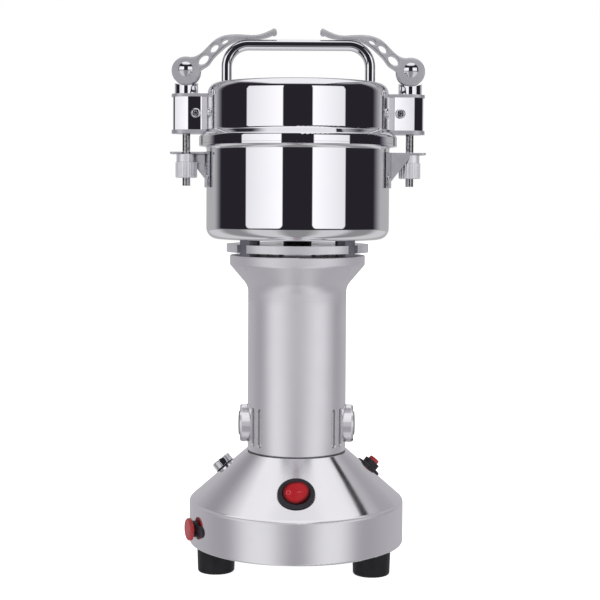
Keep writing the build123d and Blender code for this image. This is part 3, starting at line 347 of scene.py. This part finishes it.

# finishes: base colour and its blotched shade, roughness range, noise scales of grain and blotch, and in
# metres the grain's depth, rounded edge, layers and where a surface is duller; cavity is the reach and
# darkness of painted shade in recesses, crevices and between parts
finishes = {
    "mirrorSteel": {
        "color": (0.90, 0.90, 0.92), "shade": (0.885, 0.885, 0.91), "metal": 1.0, "rough": (0.0, 0.0),
        "grain": 260.0, "patch": 30.0, "depth": 0.0000001},
    "brightFittings": {
        "color": (0.90, 0.90, 0.92), "shade": (0.86, 0.86, 0.89), "metal": 1.0, "rough": (0.0, 0.0),
        "grain": 500.0, "patch": 90.0, "depth": 0.000001, "edge": 0.0003},
    "satinAluminium": {
        "color": (0.86, 0.855, 0.87), "shade": (0.845, 0.84, 0.855), "metal": 1.0, "rough": (0.09, 0.11),
        "grain": 2600.0, "patch": 45.0, "depth": 0.000001, "edge": 0.0005, "lines": 2200.0,
        "cavity": (0.0012, 0.25), "dullFront": (0.006, 0.019, 0.17)},
    "columnAluminium": {
        "color": (0.86, 0.855, 0.87), "shade": (0.845, 0.84, 0.855), "metal": 1.0, "rough": (0.16, 0.18),
        "grain": 2600.0, "patch": 45.0, "depth": 0.0000012, "edge": 0.0005, "lines": 2200.0,
        "cavity": (0.0014, 0.2), "dullAbove": (0.163, 0.174, 0.38)},
    "satinFittings": {
        "color": (0.62, 0.62, 0.65), "shade": (0.55, 0.55, 0.58), "metal": 1.0, "rough": (0.12, 0.18),
        "grain": 1800.0, "patch": 150.0, "depth": 0.000002, "edge": 0.0003, "cavity": (0.001, 0.3)},
    "knurledSteel": {
        "color": (0.98, 0.98, 1.0), "shade": (0.93, 0.93, 0.95), "metal": 1.0, "rough": (0.14, 0.2),
        "grain": 1800.0, "patch": 150.0, "depth": 0.000002, "edge": 0.0002, "cavity": (0.0006, 0.4)},
    "rodSteel": {
        "color": (0.72, 0.72, 0.74), "shade": (0.64, 0.64, 0.66), "metal": 1.0, "rough": (0.0, 0.0),
        "grain": 1800.0, "patch": 150.0, "depth": 0.000001, "layers": 0.0008, "relief": 0.12},
    "leverAluminium": {
        "color": (0.66, 0.66, 0.68), "shade": (0.56, 0.56, 0.58), "metal": 1.0, "rough": (0.2, 0.26),
        "grain": 1800.0, "patch": 45.0, "depth": 0.000004, "edge": 0.0018},
    "discAluminium": {
        "color": (0.82, 0.82, 0.84), "shade": (0.76, 0.76, 0.78), "metal": 1.0, "rough": (0.16, 0.22),
        "grain": 1500.0, "patch": 80.0, "depth": 0.000004, "edge": 0.0004, "lines": 3000.0},
    "darkPosts": {
        "color": (0.2, 0.195, 0.225), "shade": (0.16, 0.155, 0.18), "metal": 0.7, "rough": (0.25, 0.35),
        "grain": 1500.0, "patch": 160.0, "depth": 0.00001, "edge": 0.0004},
    "blackRubber": {
        "color": (0.007, 0.0068, 0.009), "shade": (0.012, 0.0117, 0.014), "metal": 0.0, "rough": (0.4, 0.5),
        "grain": 2400.0, "patch": 160.0, "depth": 0.00002, "edge": 0.0005, "gloss": 0.22},
    "paleSilicone": {
        "color": (0.62, 0.62, 0.62), "shade": (0.52, 0.52, 0.53), "metal": 0.0, "rough": (0.4, 0.5),
        "grain": 1400.0, "patch": 140.0, "depth": 0.00001},
    "blackPlastic": {
        "color": (0.017, 0.0155, 0.021), "shade": (0.024, 0.022, 0.028), "metal": 0.0, "rough": (0.25, 0.35),
        "grain": 2200.0, "patch": 150.0, "depth": 0.00001, "edge": 0.0004, "gloss": 0.3},
    "rockerRed": {
        "color": (0.5, 0.013, 0.02), "shade": (0.45, 0.011, 0.017), "metal": 0.0, "rough": (0.25, 0.32),
        "grain": 1800.0, "patch": 180.0, "depth": 0.000005, "edge": 0.0006, "gloss": 0.16,
        # painted shade at the rocker's edge
        "rim": {"from": 0.0056, "to": 0.0083, "dark": 0.12}},
    "buttonRed": {
        "color": (0.4, 0.02, 0.022), "shade": (0.3, 0.015, 0.018), "metal": 0.0, "rough": (0.3, 0.4),
        "grain": 1800.0, "patch": 180.0, "depth": 0.00001, "edge": 0.0004, "coat": (0.15, 0.12)},
    "plainSteel": {
        "color": (0.62, 0.62, 0.64), "shade": (0.52, 0.52, 0.54), "metal": 1.0, "rough": (0.2, 0.32),
        "grain": 1600.0, "patch": 150.0, "depth": 0.000006, "edge": 0.0003},
    "coreSteel": {
        "color": (0.32, 0.31, 0.31), "shade": (0.22, 0.21, 0.2), "metal": 1.0, "rough": (0.4, 0.55),
        "grain": 1600.0, "patch": 120.0, "depth": 0.00001, "layers": 0.0007, "relief": 0.8},
    "copper": {
        "color": (0.72, 0.30, 0.15), "shade": (0.56, 0.2, 0.09), "metal": 1.0, "rough": (0.3, 0.42),
        "grain": 1400.0, "patch": 150.0, "depth": 0.00001, "layers": 0.0009, "relief": 0.8},
    "carbon": {
        "color": (0.03, 0.03, 0.032), "shade": (0.05, 0.05, 0.052), "metal": 0.0, "rough": (0.5, 0.65),
        "grain": 2600.0, "patch": 200.0, "depth": 0.00002},
    "fuseGlass": {
        "color": (0.78, 0.82, 0.8), "shade": (0.7, 0.75, 0.73), "metal": 0.0, "rough": (0.05, 0.1),
        "grain": 400.0, "patch": 100.0, "depth": 0.000002, "coat": (0.6, 0.12)},
    "markPaint": {
        "color": (0.85, 0.2, 0.25), "shade": (0.78, 0.16, 0.2), "metal": 0.0, "rough": (0.4, 0.5),
        "grain": 3000.0, "patch": 500.0, "depth": 0.000005}}

# the clamp boxes are thin pressed steel, never quite flat: across the front, from the middle and half
# width given, the normal starts at so many degrees and swings by so many to each side
finishes["clampSteel"] = {
    **finishes["brightFittings"], "dullFront": (0.0598, 0.0606, 0.2),
    "bulge": {"middle": 0.0712, "half": 0.0103, "left": (-10.9, 23.3), "right": (24.5, 17.1),
              "outer": (0.80, 0.62), "inner": (-1.1, -1.0), "facing": (-0.15, -0.45)}}


# painted shade: darker towards the edge of the rocker, where its sides fall in shade, measured round the
# seat's axis
def paintedRimShade(tree, rim):
    place = addNode(tree, "ShaderNodeTexCoord").outputs["Object"]
    away = addNode(tree, "ShaderNodeVectorMath", {0: place, 1: switchSeat["centre"]}, operation="SUBTRACT")
    away = away.outputs[0]
    height = addNode(tree, "ShaderNodeVectorMath", {0: away, 1: switchSeat["out"]}, operation="DOT_PRODUCT")
    height = height.outputs["Value"]
    length = addNode(tree, "ShaderNodeVectorMath", {0: away}, operation="LENGTH").outputs["Value"]
    beside = calc(tree, "MULTIPLY", length, length)
    beside = calc(tree, "SUBTRACT", beside, calc(tree, "MULTIPLY", height, height))
    reach = calc(tree, "SQRT", calc(tree, "MAXIMUM", beside, 0.0))
    return ease(tree, reach, rim["from"], rim["to"], 1.0, rim["dark"])


def bulgeNormal(tree, bulge, base):
    x = axisPlace(tree, "X")
    onRight = calc(tree, "GREATER_THAN", x, 0.0)
    middle = blendValue(tree, onRight, -bulge["middle"], bulge["middle"])
    across = calc(tree, "DIVIDE", calc(tree, "SUBTRACT", x, middle), bulge["half"])
    turns = []
    for start, swing in (bulge["left"], bulge["right"]):
        turn = calc(tree, "MULTIPLY", across, math.radians(swing))
        turns.append(calc(tree, "ADD", turn, math.radians(start)))
    turn = blendValue(tree, onRight, *turns)
    forward = calc(tree, "MULTIPLY", calc(tree, "COSINE", turn), -1.0)
    tilt = addNode(tree, "ShaderNodeCombineXYZ", {"X": calc(tree, "SINE", turn), "Y": forward})
    turned = addNode(tree, "ShaderNodeVectorTransform", {0: tilt.outputs[0]},
                     vector_type="NORMAL", convert_from="OBJECT", convert_to="WORLD")
    plain = addNode(tree, "ShaderNodeTexCoord").outputs["Normal"]
    facing = addNode(tree, "ShaderNodeSeparateXYZ", {0: plain}).outputs["Y"]
    outward = calc(tree, "MULTIPLY", across, blendValue(tree, onRight, -1.0, 1.0))
    inside = calc(tree, "MULTIPLY", ease(tree, outward, *bulge["outer"]),
                  ease(tree, outward, *bulge["inner"]))
    share = calc(tree, "MULTIPLY", ease(tree, facing, *bulge["facing"]), inside)
    mixed = addNode(tree, "ShaderNodeMix", {"Factor": share}, data_type="VECTOR")
    tree.links.new(base, mixed.inputs["A"])
    tree.links.new(turned.outputs[0], mixed.inputs["B"])
    return mixed.outputs["Result"]


def makeFinish(name, look):
    material = bpy.data.materials.new(name)
    material.use_nodes = True
    tree = material.node_tree
    skin = tree.nodes["Principled BSDF"]
    skin.inputs["Metallic"].default_value = look["metal"]
    grain = addNode(tree, "ShaderNodeGroup", node_tree=surfaceGrain)
    grain.inputs["Grain"].default_value = look["grain"]
    grain.inputs["Patch"].default_value = look["patch"]
    blotch, height = grain.outputs["Blotch"], grain.outputs["Height"]
    color = addNode(tree, "ShaderNodeMix", data_type="RGBA")
    color.inputs["A"].default_value = (*look["color"], 1.0)
    color.inputs["B"].default_value = (*look["shade"], 1.0)
    tree.links.new(blotch, color.inputs["Factor"])
    tone = color.outputs["Result"]
    # painted shade: the base colour darkened in recesses and between parts
    if "cavity" in look:
        cavity = addNode(tree, "ShaderNodeGroup", node_tree=cavityShade)
        cavity.inputs["Reach"].default_value, cavity.inputs["Dark"].default_value = look["cavity"]
        shaded = addNode(tree, "ShaderNodeVectorMath", {0: tone}, operation="SCALE")
        tree.links.new(cavity.outputs["Shade"], shaded.inputs["Scale"])
        tone = shaded.outputs[0]
    # painted shade: the rocker's colour darkened towards its edge
    if "rim" in look:
        shaded = addNode(tree, "ShaderNodeVectorMath", {0: tone}, operation="SCALE")
        tree.links.new(paintedRimShade(tree, look["rim"]), shaded.inputs["Scale"])
        tone = shaded.outputs[0]
    tree.links.new(tone, skin.inputs["Base Color"])
    skin.inputs["Specular IOR Level"].default_value = look.get("gloss", 0.5)
    smooth, dull = look["rough"]
    rough = smooth if smooth == dull else ease(tree, blotch, 0.0, 1.0, smooth, dull)
    if "dullAbove" in look:
        low, high, most = look["dullAbove"]
        rough = blendValue(tree, ease(tree, axisPlace(tree, "Z"), low, high), rough, most)
    if "dullFront" in look:
        low, high, most = look["dullFront"]
        beside = calc(tree, "ABSOLUTE", axisPlace(tree, "X"))
        rough = blendValue(tree, ease(tree, beside, high, low), rough, most)
    if isinstance(rough, float):
        skin.inputs["Roughness"].default_value = rough
    else:
        tree.links.new(rough, skin.inputs["Roughness"])
    if "coat" in look:
        skin.inputs["Coat Weight"].default_value, skin.inputs["Coat Roughness"].default_value = look["coat"]
    bump = addNode(tree, "ShaderNodeBump", {"Height": height, "Strength": 1.0, "Distance": look["depth"]})
    if "lines" in look:
        lines = addNode(tree, "ShaderNodeGroup", node_tree=turnedLines)
        lines.inputs["Lines"].default_value = look["lines"]
        both = calc(tree, "ADD", height, lines.outputs["Height"])
        tree.links.new(both, bump.inputs["Height"])
    if "layers" in look:
        thread = addNode(tree, "ShaderNodeGroup", node_tree=screwThread)
        thread.inputs["Pitch"].default_value = look["layers"]
        layers = addNode(tree, "ShaderNodeBump", {
            "Height": thread.outputs["Height"], "Strength": look["relief"], "Distance": look["layers"] / 2})
        tree.links.new(layers.outputs[0], bump.inputs["Normal"])
    elif "edge" in look:
        edge = addNode(tree, "ShaderNodeGroup", node_tree=softEdge)
        edge.inputs["Width"].default_value = look["edge"]
        normal = edge.outputs["Normal"]
        if "bulge" in look:
            normal = bulgeNormal(tree, look["bulge"], normal)
        tree.links.new(normal, bump.inputs["Normal"])
    tree.links.new(bump.outputs[0], skin.inputs["Normal"])
    return material


materials = {name: makeFinish(name, look) for name, look in finishes.items()}
print("finishes made:", len(materials))

# which CAD nodes keep their shape and get which finish
finishNodes = {
    "satinAluminium": ["base_shell"],
    "columnAluminium": ["column_housing"],
    "mirrorSteel": ["bowl", "lid", "handle"],
    "brightFittings": [
        "saddles", "cam_pin_left", "cam_pin_right", "lower_rivets", "bracket_rivets", "clamp_screws",
        "fuse_cap"],
    "clampSteel": ["clamp_brackets"],
    "satinFittings": ["lower_brackets", "clamp_plates"],
    "knurledSteel": ["knurled_nut_left", "knurled_nut_right"],
    "rodSteel": ["pull_rod_left", "pull_rod_right"],
    "leverAluminium": ["cam_lever_left", "cam_lever_right"],
    "blackRubber": ["rubber_feet", "shaft_seal"],
    "paleSilicone": ["lid_gasket"],
    "blackPlastic": [
        "switch_bezel", "breaker_body", "breaker_nut", "pulse_button_collar", "cord_gland", "brush_caps",
        "brush_holders", "fuse_holder", "cooling_fan"],
    "rockerRed": ["rocker"],
    "buttonRed": ["pulse_button", "reset_button"],
    "darkPosts": ["standoff_posts"],
    "plainSteel": [
        "bottom_plate", "foot_screws", "column_bolts", "motor_bracket", "lower_bearing", "upper_bearing",
        "motor_shaft", "mount_disc_screws", "standoff_screws", "handle_screws", "grinding_blades",
        "blade_spacers", "blade_nut", "guide_blocks", "brush_springs"],
    "discAluminium": ["mount_disc"],
    "coreSteel": ["stator_core", "armature_core"],
    "copper": ["field_coils", "armature_winding", "commutator"],
    "carbon": ["carbon_brushes"],
    "fuseGlass": ["fuse"]}


def dressNode(name, material):
    for holder in nodes[name].material_slots:
        holder.material = material


dressed = []
for finish, names in finishNodes.items():
    for name in names:
        dressNode(name, materials[finish])
        dressed.append(name)
print("nodes dressed:", len(dressed), "left over:", sorted(set(nodes) - set(dressed)))


# new pieces: merging distance in metres, and degrees above which an edge stays sharp
meshing = {"merge": 1e-7, "sharp": 35.0}


def newPiece(name, shape, material, body):
    bmesh.ops.remove_doubles(shape, verts=shape.verts[:], dist=meshing["merge"])
    bmesh.ops.recalc_face_normals(shape, faces=shape.faces[:])
    mesh = bpy.data.meshes.new(name)
    shape.to_mesh(mesh)
    shape.free()
    mesh.shade_smooth()
    mesh.set_sharp_from_angle(angle=math.radians(meshing["sharp"]))
    piece = bpy.data.objects.new(name, mesh)
    piece.data.materials.append(material)
    scene.collection.objects.link(piece)
    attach(piece, body)


def surfaceTree(name):
    shape = bmesh.new()
    shape.from_mesh(nodes[name].data)
    tree = BVHTree.FromBMesh(shape)
    shape.free()
    return tree


# the two marks on the rocker: a ring on the left, a bar on the right, dropped onto its face from above
rockerMarks = {
    "ringSide": -0.0047, "barSide": 0.0019, "ring": 0.0013, "stroke": 0.0003, "bar": 0.0026, "thick": 0.0001,
    "above": 0.02, "strokeSegments": 8, "ringSteps": 40, "bevelShare": 0.6, "bevelSegments": 2}


def markPlace(tree, side):
    centre, out = Vector(switchSeat["centre"]), Vector(switchSeat["out"])
    start = centre + out * rockerMarks["above"] + Vector((rockerMarks[side], 0.0, 0.0))
    spot, normal = tree.ray_cast(start, -out)[:2]
    up = Vector(switchSeat["up"])
    up = (up - normal * up.dot(normal)).normalized()
    across = up.cross(normal)
    turn = Matrix((across, up, normal)).transposed().to_4x4()
    return Matrix.Translation(spot) @ turn


def buildMarks():
    tree = surfaceTree("rocker")
    half = rockerMarks["stroke"] / 2
    ring = bmesh.new()
    bmesh.ops.create_circle(
        ring, cap_ends=False, segments=rockerMarks["strokeSegments"], radius=half,
        matrix=Matrix.Translation((rockerMarks["ring"], 0.0, 0.0)) @ Matrix.Rotation(math.pi / 2, 4, "X"))
    bmesh.ops.scale(ring, verts=ring.verts[:], vec=(1.0, 1.0, rockerMarks["thick"] / half))
    bmesh.ops.spin(ring, geom=ring.verts[:] + ring.edges[:], axis=(0.0, 0.0, 1.0), cent=(0.0, 0.0, 0.0),
                   angle=2 * math.pi, steps=rockerMarks["ringSteps"], use_merge=True)
    bmesh.ops.transform(ring, matrix=markPlace(tree, "ringSide"), verts=ring.verts[:])
    newPiece("rocker_mark_ring", ring, materials["markPaint"], "rocker")
    bar = bmesh.new()
    bmesh.ops.create_cube(bar, size=1.0, matrix=Matrix.Diagonal(
        (rockerMarks["bar"], rockerMarks["stroke"], rockerMarks["thick"] * 2, 1.0)))
    bmesh.ops.bevel(bar, geom=bar.edges[:], offset=rockerMarks["thick"] * rockerMarks["bevelShare"],
                    offset_type="OFFSET", segments=rockerMarks["bevelSegments"], profile=0.5,
                    affect="EDGES", material=-1)
    bmesh.ops.transform(bar, matrix=markPlace(tree, "barSide"), verts=bar.verts[:])
    newPiece("rocker_mark_bar", bar, materials["markPaint"], "rocker")


buildMarks()
print("rocker marks made")
